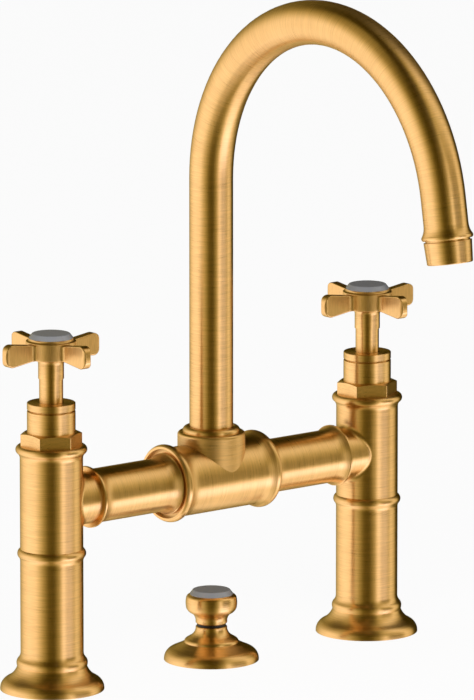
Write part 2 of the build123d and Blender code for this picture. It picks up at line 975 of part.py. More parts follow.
def spout_tube():
    route_plane = turning_plane((0, 0, 0), (0, -1, 0), (0, 0, 1))
    with BuildPart() as tube:
        with BuildLine(route_plane):
            riser = Line((0, spigot_flange_top), (0, bend_start))
            bend = JernArc(riser @ 1, riser % 1, bend_radius, -bend_angle)
            Line(bend @ 1, bend @ 1 + (bend % 1) * outlet_cove_start)
        with BuildSketch(Plane(origin=(0, 0, spigot_flange_top))):
            Circle(spout_radius)
            Circle(spout_bore, mode=Mode.SUBTRACT)
        sweep()
        with BuildSketch(tip):
            with BuildLine():
                cove = TangentArc(
                    (spout_radius, outlet_cove_start),
                    (outlet_cove_radius, outlet_cove_end),
                    tangent=(0, 1),
                )
                bead = ThreePointArc(
                    cove @ 1,
                    (outlet_bead_radius, outlet_bead_middle),
                    (outlet_end_radius, outlet_end),
                )
                thread = aerator_thread_radius + thread_fit
                thread_top = outlet_end - aerator_thread_length - washer_thickness
                Polyline(
                    bead @ 1,
                    (thread, outlet_end),
                    (thread, thread_top),
                    (spout_bore, thread_top),
                    (spout_bore, outlet_cove_start),
                    cove @ 0,
                )
            make_face()
        revolve(axis=turning_axis(tip))
    return tube


def spout_spigot():
    plane = upright(0)
    bore = spigot_radius + slide_fit
    floor = groove_floor(bore, spigot_ring_section)
    half_width = spigot_ring_section / 2 + groove_side / 2
    base = spigot_seat + film
    first = base + spigot_ring_low
    second = first + spigot_ring_pitch
    upper = spout_bore - slide_fit
    slot_floor = spigot_radius - stop_slot_depth
    slot_sweep = 2 * (stop_swing + math.degrees((stop_screw_radius + body_gap) / slot_floor))
    with BuildPart() as spigot:
        with BuildSketch(plane):
            with BuildLine():
                Polyline(
                    (spigot_bore, base),
                    (spigot_radius, base),
                    (spigot_radius, first - half_width),
                    (floor, first - half_width),
                    (floor, first + half_width),
                    (spigot_radius, first + half_width),
                    (spigot_radius, second - half_width),
                    (floor, second - half_width),
                    (floor, second + half_width),
                    (spigot_radius, second + half_width),
                    (spigot_radius, spigot_flange_top),
                    (upper, spigot_flange_top),
                    (upper, spigot_flange_top + spigot_upper_length),
                    (spigot_bore, spigot_flange_top + spigot_upper_length),
                    close=True,
                )
            make_face()
        revolve(axis=turning_axis(plane))
        with BuildSketch(Plane.XZ.rotated((0, 0, 90 - slot_sweep / 2))):
            with Locations(((slot_floor + spigot_radius + 1) / 2, stop_height)):
                Rectangle(spigot_radius + 1 - slot_floor, stop_slot_height)
        revolve(axis=Axis.Z, revolution_arc=slot_sweep, mode=Mode.SUBTRACT)
    return spigot


def stop_screw():
    """Headless screw at the back of the tee whose point runs in the spigot's slot."""
    point = spigot_radius - stop_slot_depth + body_gap
    outer = socket_radius - body_gap
    with BuildPart() as screw:
        with BuildSketch(Plane(origin=(0, point, stop_height), x_dir=(1, 0, 0), z_dir=(0, 1, 0))):
            Circle(stop_screw_radius)
        extrude(amount=outer - point)
        with BuildSketch(Plane(origin=(0, outer, stop_height), x_dir=(1, 0, 0), z_dir=(0, 1, 0))):
            RegularPolygon(stop_screw_radius / 2, 6)
        extrude(amount=-stop_screw_radius, mode=Mode.SUBTRACT)
    return screw


def aerator_shell():
    top = outlet_end - aerator_thread_length
    groove_end = outlet_end + aerator_groove_width
    base = groove_end + shell_length
    return turned(
        tip,
        (shell_bore, top),
        (aerator_thread_radius, top),
        (aerator_thread_radius, outlet_end),
        (aerator_groove_radius, outlet_end),
        (aerator_groove_radius, groove_end),
        (shell_top_radius, groove_end + shell_edge / 2),
        (shell_bottom_radius, base - shell_edge),
        (shell_bottom_radius - shell_edge, base),
        (shell_lip_radius + shell_edge, base),
        (shell_lip_radius, base - shell_edge),
        (shell_lip_radius, base - shell_lip_height),
        (shell_bore, base - shell_lip_height),
    )


def aerator_insert():
    """Plastic core of the aerator, with rings of jets right through it."""
    top = outlet_end - aerator_thread_length
    base = outlet_end + aerator_groove_width + shell_length - shell_lip_height
    face = Plane(origin=bend_end + tip_direction * top, x_dir=(1, 0, 0), z_dir=tip_direction)
    with BuildPart() as insert:
        with BuildSketch(face):
            Circle(shell_bore - slide_fit)
            Circle(jet_radius, mode=Mode.SUBTRACT)
            for circle, count in ((jet_inner_circle, 6), (jet_outer_circle, 12)):
                with PolarLocations(circle, count):
                    Circle(jet_radius, mode=Mode.SUBTRACT)
        extrude(amount=base - top)
    return insert


def popup_escutcheon():
    plane = upright(0)
    groove_inner = popup_seal_inner - seal_side_gap
    groove_outer = popup_seal_outer + seal_side_gap
    bore = bush_radius + slide_fit
    with BuildPart() as escutcheon:
        with BuildSketch(plane):
            with BuildLine():
                rim = JernArc((escutcheon_radius, escutcheon_rim), (0, 1), escutcheon_round, escutcheon_turn)
                dome = TangentArc(rim @ 1, (step_radius, step_height), tangent=rim % 1)
                step = JernArc(dome @ 1, (0, 1), step_round, step_turn)
                slope = Line(step @ 1, (slope_radius, slope_height))
                cove = TangentArc(slope @ 1, (turret_radius, turret_cove_top), tangent=slope % 1)
                Polyline(
                    cove @ 1,
                    (turret_radius, turret_height - turret_edge),
                    (turret_radius - turret_edge, turret_height),
                    (bore, turret_height),
                    (bore, escutcheon_hollow_height),
                    (escutcheon_hollow_radius, escutcheon_hollow_height),
                    (escutcheon_hollow_radius, 0),
                    (groove_inner, 0),
                    (groove_inner, seal_thickness),
                    (groove_outer, seal_thickness),
                    (groove_outer, 0),
                    (escutcheon_radius, 0),
                    rim @ 0,
                )
            make_face()
        revolve(axis=turning_axis(plane))
    return escutcheon


def pull_rod():
    top = turret_height + buffer_thickness + knob_hole_depth
    return turned(
        upright(0),
        (rod_socket_radius, 0),
        (rod_radius, 0),
        (rod_radius, top),
        (0, top),
        (0, rod_socket_depth),
        (rod_socket_radius, rod_socket_depth),
    )


def popup_knob():
    plane = upright(0)
    base = turret_height + buffer_thickness
    hole = rod_radius + thread_fit
    cap_bore = cap_spigot_radius + slide_fit
    cap_seat = base + knob_height - cap_spigot_depth
    with BuildPart() as knob:
        with BuildSketch(plane):
            with BuildLine():
                foot = Polyline(
                    (0, base + knob_hole_depth),
                    (hole, base + knob_hole_depth),
                    (hole, base),
                    (knob_foot_radius - knob_foot_edge, base),
                    (knob_foot_radius, base + knob_foot_edge),
                    (knob_foot_radius, base + knob_foot_height),
                )
                waist = TangentArc(foot @ 1, (knob_waist_radius, base + knob_waist_height), tangent=(0, 1))
                bowl = ThreePointArc(
                    waist @ 1,
                    (knob_bowl_low_radius, base + knob_bowl_low_height),
                    (knob_bowl_side_radius, base + knob_bowl_side_height),
                )
                side = ThreePointArc(
                    bowl @ 1,
                    (knob_radius, base + knob_middle_height),
                    (knob_shoulder_radius, base + knob_shoulder_height),
                )
                brow = ThreePointArc(
                    side @ 1,
                    (knob_round_radius, base + knob_round_height),
                    (knob_brow_radius, base + knob_brow_height),
                )
                Polyline(
                    brow @ 1,
                    (knob_cap_radius, base + knob_height),
                    (cap_bore, base + knob_height),
                    (cap_bore, cap_seat),
                    (0, cap_seat),
                    foot @ 0,
                )
            make_face()
        revolve(axis=turning_axis(plane))
    return knob


os.makedirs("parts", exist_ok=True)

union_bore_radius = union_spigot_radius + slide_fit
tee_socket_radius = tee_spigot_radius + slide_fit
tube_far_face = pillar_pitch / 2 - tee_half_length + recess_depth

for water, x_side, inward in (("hot", -pillar_pitch / 2, 1), ("cold", pillar_pitch / 2, -1)):
    pillar = upright(x_side)
    keep(base_flange(x_side), f"{water}_base_flange")
    keep(ring(pillar, seal_inner, seal_outer, 0, seal_thickness), f"{water}_base_seal")
    keep(column(x_side), f"{water}_column")
    keep(valve_body(x_side, inward), f"{water}_valve_body")
    keep(bonnet_nut(x_side), f"{water}_bonnet_nut")
    keep(bonnet_sleeve(x_side), f"{water}_bonnet_sleeve")
    keep(bonnet_cap(x_side), f"{water}_bonnet_cap")
    keep(cartridge_body(x_side), f"{water}_cartridge_body")
    seal_radius = barrel_bore - slide_fit
    keep(ring(pillar, seat_seal_bore, seal_radius, seat, fixed_disc_base), f"{water}_cartridge_seal")
    keep(
        ceramic_disc(x_side, fixed_disc_base, fixed_disc_height, seal_radius, 0),
        f"{water}_fixed_disc",
    )
    keep(
        ceramic_disc(x_side, moving_disc_base, moving_disc_height, disc_radius, 90),
        f"{water}_moving_disc",
    )
    keep(spindle(x_side), f"{water}_spindle")
    first_ring = barrel_roof + spindle_ring_low
    spindle_rings = (first_ring, first_ring + spindle_ring_pitch)
    keep(o_rings(pillar, neck_bore_radius, spindle_ring_section, spindle_rings), f"{water}_spindle_orings")
    keep(spindle_clip(x_side), f"{water}_spindle_clip")
    keep(handle_adapter(x_side), f"{water}_handle_adapter")
    keep(handle_cross(x_side), f"{water}_handle_cross")
    keep(cap_screw(x_side), f"{water}_handle_screw")
    keep(porcelain_cap(x_side, handle_top, handle_cap_radius, handle_cap_height), f"{water}_handle_cap")
    keep(bridge_tube(x_side, inward), f"{water}_bridge_tube")
    bridge = branch(x_side, inward)
    places = (stub_reach + union_spigot_length / 2,)
    keep(o_rings(bridge, union_bore_radius, union_ring_section, places), f"{water}_pillar_oring")
    places = (tube_far_face + tee_spigot_length / 2,)
    keep(o_rings(bridge, tee_socket_radius, union_ring_section, places), f"{water}_tee_oring")

keep(bridge_tee(), "bridge_tee")
keep(swivel_collar(), "swivel_collar")
keep(spout_tube(), "spout_tube")
keep(spout_spigot(), "spout_spigot")
first_ring = spigot_seat + film + spigot_ring_low
spigot_rings = (first_ring, first_ring + spigot_ring_pitch)
keep(o_rings(upright(0), spigot_radius + slide_fit, spigot_ring_section, spigot_rings), "spout_orings")
slide_base = spigot_flange_top + film
slide_top = slide_base + slide_ring_thickness
keep(
    ring(upright(0), spout_radius + running_fit, spigot_radius, slide_base, slide_top),
    "spout_slide_ring",
)
keep(stop_screw(), "swivel_stop_screw")
keep(aerator_shell(), "aerator_shell")
keep(aerator_insert(), "aerator_insert")
washer_base = outlet_end - aerator_thread_length
keep(
    ring(tip, washer_bore, aerator_thread_radius, washer_base - washer_thickness, washer_base),
    "aerator_washer",
)
keep(popup_escutcheon(), "popup_escutcheon")
keep(ring(upright(0), popup_seal_inner, popup_seal_outer, 0, seal_thickness), "popup_base_seal")
keep(
    ring(upright(0), rod_radius + slide_fit, bush_radius, escutcheon_hollow_height, turret_height),
    "popup_guide_bush",
)
keep(
    ring(upright(0), rod_radius + body_gap, buffer_radius, turret_height, turret_height + buffer_thickness),
    "popup_buffer_ring",
)
keep(pull_rod(), "popup_rod")
keep(popup_knob(), "popup_knob")
knob_top = turret_height + buffer_thickness + knob_height
keep(porcelain_cap(0, knob_top, knob_cap_radius, knob_cap_height), "popup_knob_cap")
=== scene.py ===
import json
import math

import bpy
from mathutils import Matrix, Vector

# Two-handle basin mixer with a bridge and a gooseneck spout, in brushed brass.
# X runs along the bridge, the spout reaches towards -Y, and Z is up from the deck. Objects are in metres, and
# the patterns of the materials are worked out in millimetres.

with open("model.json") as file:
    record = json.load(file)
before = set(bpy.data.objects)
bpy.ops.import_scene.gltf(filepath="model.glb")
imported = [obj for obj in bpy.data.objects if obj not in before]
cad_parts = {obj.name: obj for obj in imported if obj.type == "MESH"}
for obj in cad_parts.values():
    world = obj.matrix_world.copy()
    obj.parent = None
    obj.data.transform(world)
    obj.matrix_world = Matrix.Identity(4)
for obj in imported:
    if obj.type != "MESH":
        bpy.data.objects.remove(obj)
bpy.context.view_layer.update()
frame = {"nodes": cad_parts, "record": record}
nodes = frame["nodes"]
scene = bpy.context.scene
scene.view_settings.view_transform = "Standard"

# The part's own layout, in millimetres and degrees
MM = 1000.0
PILLAR_PITCH = 200.0
UPRIGHT_SPACING = PILLAR_PITCH / 2
PILLAR_RADIUS = 15.3
STUB_START = PILLAR_RADIUS + 0.7
STUB_HALF_HEIGHT = PILLAR_RADIUS + 2.0
BRIDGE_AXIS = 91.85
TEE_RADIUS = 17.2
SOCKET_START = TEE_RADIUS + 0.1
SOCKET_HALF_WIDTH = 19.0
HUB_BASE = 163.45
NECK_TOP = HUB_BASE - 1.0
DRUM_START = HUB_BASE + 0.3
BEND_START = 239.97
BEND_RADIUS = 86.87
BEND_ANGLE = 170.48

# The brushed finish, in millimetres: how wide and how long its grooves and strokes are
FINE_GROOVE = 0.4
FINE_STROKE = 9.0
BROAD_GROOVE = 1.6
BROAD_STROKE = 30.0
BROAD_SHARE = 0.35
STANDING_GROOVES_PER_MM = 2.4
STANDING_LOW = 0.32
STANDING_HIGH = 0.72
STANDING_LEAN = 0.05
GROOVE_DEPTH = 0.1
CLOUD_SIZE = 20.0
# How far round a point the painted shade in corners looks for open air
RECESS_REACH = 12.0

# Its roughness, its shades and its colours
ROUGH_LOW = 0.26
ROUGH_HIGH = 0.34
GROOVE_SMEAR = 0.8
QUARTER_TURN = 0.25
SHADE_LOW = 0.78
SHADE_HIGH = 1.08
# The painted shade in corners: full at the first share of open air, none at the second, in this brown
RECESS_DEEP = 0.2
RECESS_CLEAR = 0.85
BRASS_LIGHT = "#FAD294"
BRASS_DEEP = "#F0C486"
RECESS_SHADE_BROWN = "#7A5C2A"

# Most of a noise lies between the first two levels, and nearly all of it between the other two
NOISE_LOW = 0.3
NOISE_HIGH = 0.7
NOISE_LEAST = 0.25
NOISE_MOST = 0.75

# The camera, along the photograph's line of sight
VIEW_AZIMUTH = math.radians(39.633)
VIEW_ELEVATION = math.radians(11.144)
VIEW_DISTANCE = 4.74321
VIEW_HEIGHT = 0.1499
VIEW_REACH = 50.0
SHIFT_RIGHT = 0.012565
SHIFT_UP = 0.004621
LONG_SIDE_SENSOR = 36.0
LENS = 499.49

# The floor, the plain light and the lamp
FLOOR_RADIUS = 6.0
FLOOR_SIDES = 96
FLOOR_WHITE = "#FAFAFA"
FLOOR_GLOW = 0.92
WHITE = (1.0, 1.0, 1.0, 1.0)
PLAIN_LIGHT = 0.5
LAMP_WIDTH = 1.2
LAMP_HEIGHT = 0.8
LAMP_WATTS = 18.0
LAMP_AHEAD = 1.6
LAMP_RAISED = 0.5

# The studio that the metal mirrors, as bands of light from below to overhead. A pair is the degrees to the right of
# the camera, which is at 0, and the light there: 0.02 is dark cloth, 0.7 a soft box, and more than 1 a bright strip.
# The table is pale, and dark only under the camera.
TABLE = (
    (-180, 0.3), (-150, 0.5), (-90, 0.95), (-50, 0.6), (-15, 0.18), (15, 0.22), (60, 0.75), (140, 0.7), (165, 0.5),
    (180, 0.3),
)
# A tall box on the left, and on the right a low strip that gives the uprights their bright right half.
LOW = (
    (-180, 0.12), (-150, 0.4), (-120, 0.7), (-90, 0.8), (-60, 0.7), (-30, 0.26), (-12, 0.07), (10, 0.05), (30, 0.3),
    (46, 1.1), (60, 1.24), (80, 1.24), (92, 0.85), (114, 0.4), (128, 0.06), (180, 0.06),
)
# The same tall box, and a gap between two boxes on the right, which gives the bridge its dark band.
EYE_LEVEL = (
    (-180, 0.04), (-150, 0.3), (-120, 0.62), (-95, 0.76), (-60, 0.7), (-30, 0.26), (-12, 0.07), (10, 0.04),
    (30, 0.22), (44, 0.7), (58, 0.1), (88, 0.12), (102, 0.6), (122, 0.45), (136, 0.02), (180, 0.02),
)
# Softer light, most of it on the right, for the upper sides of the level pieces and of the bend.
HIGH = (
    (-180, 0.02), (-130, 0.02), (-85, 0.3), (-35, 0.03), (30, 0.02), (56, 0.3), (84, 0.55), (104, 0.75), (118, 0.35),
    (130, 0.02), (180, 0.01),
)
# Dark cloth, with a little light on the right.
OVERHEAD = ((-180, 0.01), (60, 0.03), (85, 0.35), (105, 0.35), (125, 0.01))
# Each band takes over from the one below it between two elevations in degrees.
BANDS_ABOVE_TABLE = ((LOW, -52, -34), (EYE_LEVEL, -28, -7), (HIGH, 4, 50), (OVERHEAD, 58, 78))
# The dimmer the light, the warmer it is, which gives the dark bands on the brass their brown.
GREEN_SHARE = 0.92
GREEN_FALL = 1.06
BLUE_FALL = 1.75
STUDIO_STRENGTH = 1.75


def linear(code):
    """Linear colour of an sRGB hex code."""
    parts = [int(code[i:i + 2], 16) / 255 for i in (1, 3, 5)]
    return [c / 12.92 if c <= 0.04045 else ((c + 0.055) / 1.055) ** 2.4 for c in parts] + [1.0]


def add(tree, kind, inputs=None, **settings):
    """Adds one shader node: its settings, then each input's value or the socket that feeds it.

    An input is a name or a place in the node's list. A MapRange goes from its inputs 1 and 2 to 3 and 4, and a
    Mix takes its two numbers at 2 and 3, or its two vectors at 4 and 5.
    """
    made = tree.nodes.new("ShaderNode" + kind)
    for name, value in settings.items():
        setattr(made, name, value)
    for name, value in (inputs or {}).items():
        if isinstance(value, bpy.types.NodeSocket):
            tree.links.new(value, made.inputs[name])
        else:
            made.inputs[name].default_value = value
    return made.outputs


def new_material(name):
    """An empty material and its node tree."""
    made = bpy.data.materials.new(name)
    made.use_nodes = True
    made.node_tree.nodes.clear()
    return made, made.node_tree


def place_mm(tree):
    """The point on the piece at rest, in millimetres."""
    coords = add(tree, "TexCoord")["Object"]
    return add(tree, "VectorMath", {0: coords, "Scale": MM}, operation="SCALE")[0]


# Each centre line below gives three sockets: the offset from the turning axis, the axis direction, and the
# distance along the axis. A piece that is brushed upright in one place gives a fourth, which is 1 there.


def pillar_line(tree, point):
    """The nearest of the upright axes through the two pillars and the middle."""
    parts = add(tree, "SeparateXYZ", {0: point})
    shifted = add(tree, "Math", {0: parts["X"], 1: UPRIGHT_SPACING / 2}, operation="ADD")[0]
    axis_x = add(tree, "Math", {0: shifted, 1: UPRIGHT_SPACING}, operation="SNAP")[0]
    local_x = add(tree, "Math", {0: parts["X"], 1: axis_x}, operation="SUBTRACT")[0]
    offset = add(tree, "CombineXYZ", {"X": local_x, "Y": parts["Y"]})[0]
    axis = add(tree, "CombineXYZ", {"Z": 1.0})[0]
    return offset, axis, parts["Z"]


def bridge_line(tree, point):
    """The level axis of the bridge, through both stubs, both tubes and the tee."""
    parts = add(tree, "SeparateXYZ", {0: point})
    local_z = add(tree, "Math", {0: parts["Z"], 1: BRIDGE_AXIS}, operation="SUBTRACT")[0]
    offset = add(tree, "CombineXYZ", {"Y": parts["Y"], "Z": local_z})[0]
    axis = add(tree, "CombineXYZ", {"X": 1.0})[0]
    return offset, axis, parts["X"]


def spout_line(tree, point):
    """The spout's centre line: up the riser, round the bend and straight down the tip."""
    parts = add(tree, "SeparateXYZ", {0: point})
    local_y = add(tree, "Math", {0: parts["Y"], 1: BEND_RADIUS}, operation="ADD")[0]
    local_z = add(tree, "Math", {0: parts["Z"], 1: BEND_START}, operation="SUBTRACT")[0]
    # The turn round the bend's middle counts from -90 to 270 degrees, so the riser and the tip stay at its ends.
    turn = add(tree, "Math", {0: local_z, 1: local_y}, operation="ARCTAN2")[0]
    turn = add(tree, "Math", {0: turn, 1: 1.5 * math.pi, 2: -0.5 * math.pi}, operation="WRAP")[0]
    turn = add(tree, "Clamp", {0: turn, "Max": math.radians(BEND_ANGLE)})[0]
    sine = add(tree, "Math", {0: turn}, operation="SINE")[0]
    cosine = add(tree, "Math", {0: turn}, operation="COSINE")[0]
    outward = add(tree, "CombineXYZ", {"Y": cosine, "Z": sine})[0]
    back = add(tree, "Math", {0: sine, 1: -1.0}, operation="MULTIPLY")[0]
    axis = add(tree, "CombineXYZ", {"Y": back, "Z": cosine})[0]
    local = add(tree, "CombineXYZ", {"X": parts["X"], "Y": local_y, "Z": local_z})[0]
    middle = add(tree, "VectorMath", {0: outward, "Scale": BEND_RADIUS}, operation="SCALE")[0]
    from_middle = add(tree, "VectorMath", {0: local, 1: middle}, operation="SUBTRACT")[0]
    beyond = add(tree, "VectorMath", {0: from_middle, 1: axis}, operation="DOT_PRODUCT")["Value"]
    slide = add(tree, "VectorMath", {0: axis, "Scale": beyond}, operation="SCALE")[0]
    offset = add(tree, "VectorMath", {0: from_middle, 1: slide}, operation="SUBTRACT")[0]
    along = add(tree, "Math", {0: turn, 1: BEND_RADIUS, 2: beyond}, operation="MULTIPLY_ADD")[0]
    return offset, axis, along


def choose(tree, factor, first, second):
    """Mixes two centre lines: the first where the factor is 0, the second where it is 1."""
    offset = add(tree, "Mix", {0: factor, 4: first[0], 5: second[0]}, data_type="VECTOR")[1]
    axis = add(tree, "Mix", {0: factor, 4: first[1], 5: second[1]}, data_type="VECTOR")[1]
    along = add(tree, "Mix", {0: factor, 2: first[2], 3: second[2]}, data_type="FLOAT")[0]
    return offset, axis, along


def body_line(tree, point):
    """A valve body: its upright axis, and the bridge's axis on the stub outside the pillar."""
    upright = pillar_line(tree, point)
    radius = add(tree, "VectorMath", {0: upright[0]}, operation="LENGTH")["Value"]
    height = add(tree, "Math", {0: upright[2], 1: BRIDGE_AXIS}, operation="SUBTRACT")[0]
    near = add(tree, "Math", {0: height}, operation="ABSOLUTE")[0]
    level = add(tree, "Math", {0: near, 1: STUB_HALF_HEIGHT}, operation="LESS_THAN")[0]
    outside = add(tree, "Math", {0: radius, 1: STUB_START}, operation="GREATER_THAN")[0]
    stub = add(tree, "Math", {0: level, 1: outside}, operation="MULTIPLY")[0]
    return choose(tree, stub, upright, bridge_line(tree, point))


def tee_line(tree, point):
    """The tee: the bridge's axis, and the upright axis on the socket that stands on the barrel."""
    level = bridge_line(tree, point)
    radius = add(tree, "VectorMath", {0: level[0]}, operation="LENGTH")["Value"]
    off_barrel = add(tree, "Math", {0: radius, 1: SOCKET_START}, operation="GREATER_THAN")[0]
    width = add(tree, "Math", {0: level[2]}, operation="ABSOLUTE")[0]
    inside = add(tree, "Math", {0: width, 1: SOCKET_HALF_WIDTH}, operation="LESS_THAN")[0]
    socket = add(tree, "Math", {0: off_barrel, 1: inside}, operation="MULTIPLY")[0]
    offset, axis, along = choose(tree, socket, level, pillar_line(tree, point))
    return offset, axis, along, socket


def cross_line(tree, point):
    """A handle cross: its upright axis. The drum and the arms above the neck are brushed upright."""
    offset, axis, along = pillar_line(tree, point)
    above = add(tree, "MapRange", {0: along, 1: NECK_TOP, 2: DRUM_START, 3: 0.0, 4: 1.0})[0]
    return offset, axis, along, above


def brushed_brass(name, centre_line, standing_strokes=False):
    """Solid brass, brushed and lacquered in a warm gold bronze.

    A fine abrasive turned round each piece leaves grooves about 0.1 mm wide and a few millimetres long. The eye
    sees short bright and dark strokes along the grooves, and reflections that smear across them into soft bands.
    The grooves are drawn about 0.4 mm wide, as coarse as the picture can show. The corners and recesses get painted
    shade: their colour turns a darker brown.
    """
    made, tree = new_material(name)
    point = place_mm(tree)
    offset, axis, along, *upright = centre_line(tree, point)
    radius = add(tree, "VectorMath", {0: offset}, operation="LENGTH")["Value"]
    around = add(tree, "VectorMath", {0: offset}, operation="NORMALIZE")[0]
    forward = add(tree, "VectorMath", {0: axis, "Scale": along}, operation="SCALE")[0]
    groove_way = add(tree, "VectorMath", {0: axis, 1: around}, operation="CROSS_PRODUCT")[0]

    def grain(groove, stroke):
        """Noise drawn out round the axis, from a groove's width and a stroke's length in millimetres."""
        long_way = add(tree, "VectorMath", {0: around, "Scale": PILLAR_RADIUS / stroke}, operation="SCALE")[0]
        across = add(tree, "VectorMath", {0: forward, "Scale": 1 / groove}, operation="SCALE")[0]
        where = add(tree, "VectorMath", {0: long_way, 1: across}, operation="ADD")[0]
        outward = add(tree, "Math", {0: radius, 1: 1 / groove}, operation="MULTIPLY")[0]
        return add(
            tree,
            "TexNoise",
            {"Vector": where, "W": outward, "Scale": 1.0, "Detail": 2.0, "Roughness": 0.6},
            noise_dimensions="4D",
        )[0]

    fine = grain(FINE_GROOVE, FINE_STROKE)
    broad = grain(BROAD_GROOVE, BROAD_STROKE)
    strokes = add(tree, "Mix", {0: BROAD_SHARE, 2: fine, 3: broad}, data_type="FLOAT")[0]
    if standing_strokes:
        stretched = add(tree, "VectorMath", {0: point, 1: (1.0, 1.0, 1 / FINE_STROKE)}, operation="MULTIPLY")[0]
        standing = add(
            tree,
            "TexNoise",
            {"Vector": stretched, "Scale": STANDING_GROOVES_PER_MM, "Detail": 1.0, "Roughness": 0.4},
        )[0]
        standing = add(tree, "MapRange", {0: standing, 3: STANDING_LOW, 4: STANDING_HIGH})[0]
        strokes = add(tree, "Mix", {0: upright[0], 2: strokes, 3: standing}, data_type="FLOAT")[0]
    if upright:
        # The grooves stand up here, and lean a little so that they still have a way to run on a level face.
        lean = (STANDING_LEAN,) * 3
        leaning = add(tree, "VectorMath", {0: groove_way, 1: lean, 2: axis}, operation="MULTIPLY_ADD")[0]
        groove_way = add(tree, "Mix", {0: upright[0], 4: groove_way, 5: leaning}, data_type="VECTOR")[1]
    tangent = add(
        tree,
        "VectorTransform",
        {0: groove_way},
        vector_type="VECTOR",
        convert_from="OBJECT",
        convert_to="WORLD",
    )[0]
    cloud = add(tree, "TexNoise", {"Vector": point, "Scale": 1 / CLOUD_SIZE, "Detail": 3.0})[0]
    tone = add(tree, "MixRGB", {0: cloud, 1: linear(BRASS_LIGHT), 2: linear(BRASS_DEEP)})[0]
    shade = add(tree, "MapRange", {0: strokes, 1: NOISE_LOW, 2: NOISE_HIGH, 3: SHADE_LOW, 4: SHADE_HIGH})[0]
    # In a corner there is less open air round a point, and painted shade turns the colour brown there.
    open_air = add(tree, "AmbientOcclusion", {"Distance": RECESS_REACH / MM}, samples=8, only_local=True)["AO"]
    clear = add(tree, "MapRange", {0: open_air, 1: RECESS_DEEP, 2: RECESS_CLEAR, 3: 0.0, 4: 1.0})[0]
    shaded_tone = add(tree, "MixRGB", {0: clear, 1: linear(RECESS_SHADE_BROWN), 2: tone})[0]
    colour = add(tree, "VectorMath", {0: shaded_tone, "Scale": shade}, operation="SCALE")[0]
    rough = add(tree, "MapRange", {0: strokes, 1: NOISE_LEAST, 2: NOISE_MOST, 3: ROUGH_LOW, 4: ROUGH_HIGH})[0]
    bump = add(tree, "Bump", {"Strength": 0.5, "Distance": GROOVE_DEPTH / MM, "Height": strokes})[0]
    # The grooves run along the tangent, and the quarter turn makes the reflections smear across them.
    shader = add(
        tree,
        "BsdfPrincipled",
        {
            "Base Color": colour,
            "Metallic": 1.0,
            "Roughness": rough,
            "Anisotropic": GROOVE_SMEAR,
            "Anisotropic Rotation": QUARTER_TURN,
            "Tangent": tangent,
            "Normal": bump,
        },
    )[0]
    add(tree, "OutputMaterial", {"Surface": shader})
    return made


def plain(name, light, deep, roughness, grain_mm, bump_mm, **sockets):
    """An even finish between two close colours.

    The real grain is finer than the picture can show, so it is drawn as a faint mottle a few millimetres wide.
    """
    made, tree = new_material(name)
    point = place_mm(tree)
    mottle = add(tree, "TexNoise", {"Vector": point, "Scale": 1 / grain_mm, "Detail": 4.0})[0]
    colour = add(tree, "MixRGB", {0: mottle, 1: linear(light), 2: linear(deep)})[0]
    smooth, dull = roughness * 0.9, roughness * 1.1
    rough = add(tree, "MapRange", {0: mottle, 1: NOISE_LOW, 2: NOISE_HIGH, 3: smooth, 4: dull})[0]
    bump = add(tree, "Bump", {"Strength": 0.3, "Distance": bump_mm / MM, "Height": mottle})[0]
    inputs = {"Base Color": colour, "Roughness": rough, "Normal": bump}
    inputs.update(sockets)
    shader = add(tree, "BsdfPrincipled", inputs)[0]
    add(tree, "OutputMaterial", {"Surface": shader})
    return made


turned_brass = brushed_brass("brushed_brass_turned", pillar_line)
body_brass = brushed_brass("brushed_brass_valve_body", body_line)
bridge_brass = brushed_brass("brushed_brass_bridge", bridge_line)
tee_brass = brushed_brass("brushed_brass_tee", tee_line)
spout_brass = brushed_brass("brushed_brass_spout", spout_line)
cross_brass = brushed_brass("brushed_brass_cross", cross_line, standing_strokes=True)

# Brass as the lathe leaves it, without lacquer: a yellower metal with a soft sheen.
raw_brass = plain("machined_brass", "#D8B060", "#C79C4C", 0.32, 2.0, 0.01, Metallic=1.0)
# Bright drawn stainless steel: a neutral metal with clearer reflections.
steel = plain("bright_stainless_steel", "#C4C4C2", "#B4B4B4", 0.25, 2.0, 0.01, Metallic=1.0)
# Porcelain under a fired glaze: a sharp mirror over an even body. Its colour is the grey that its white has in the
# photograph.
# The body is white, and its grey here is painted shade from the dark studio.
porcelain = plain("glazed_porcelain", "#8C8D90", "#848588", 0.12, 8.0, 0.01)
# Valve ceramic lapped flat: off-white, with only a low sheen.
ceramic = plain("lapped_valve_ceramic", "#EEEAE0", "#E4E0D6", 0.3, 3.0, 0.005)
# Moulded seal rubber: nearly black with a trace of red, and a dull sheen.
rubber = plain("black_seal_rubber", "#100302", "#0A0201", 0.5, 1.0, 0.02)
# Moulded plastic: pale and satin.
plastic = plain("moulded_pale_plastic", "#DADAD6", "#D2D2CC", 0.4, 3.0, 0.01)

BY_SLOT = {
    "brushed_brass": turned_brass,
    "raw_brass": raw_brass,
    "porcelain": porcelain,
    "valve_ceramic": ceramic,
    "seal_rubber": rubber,
    "stainless_steel": steel,
    "pale_plastic": plastic,
}
BY_PIECE = {
    "valve_body": body_brass,
    "bridge_tube": bridge_brass,
    "bridge_tee": tee_brass,
    "spout_tube": spout_brass,
    "aerator_shell": spout_brass,
    "handle_cross": cross_brass,
}
for row in frame["record"]["subparts"]:
    node = row["node"]
    piece = node.replace("hot_", "").replace("cold_", "")
    for slot in nodes[node].material_slots:
        slot.material = BY_PIECE.get(piece, BY_SLOT[row["material_slot"]])

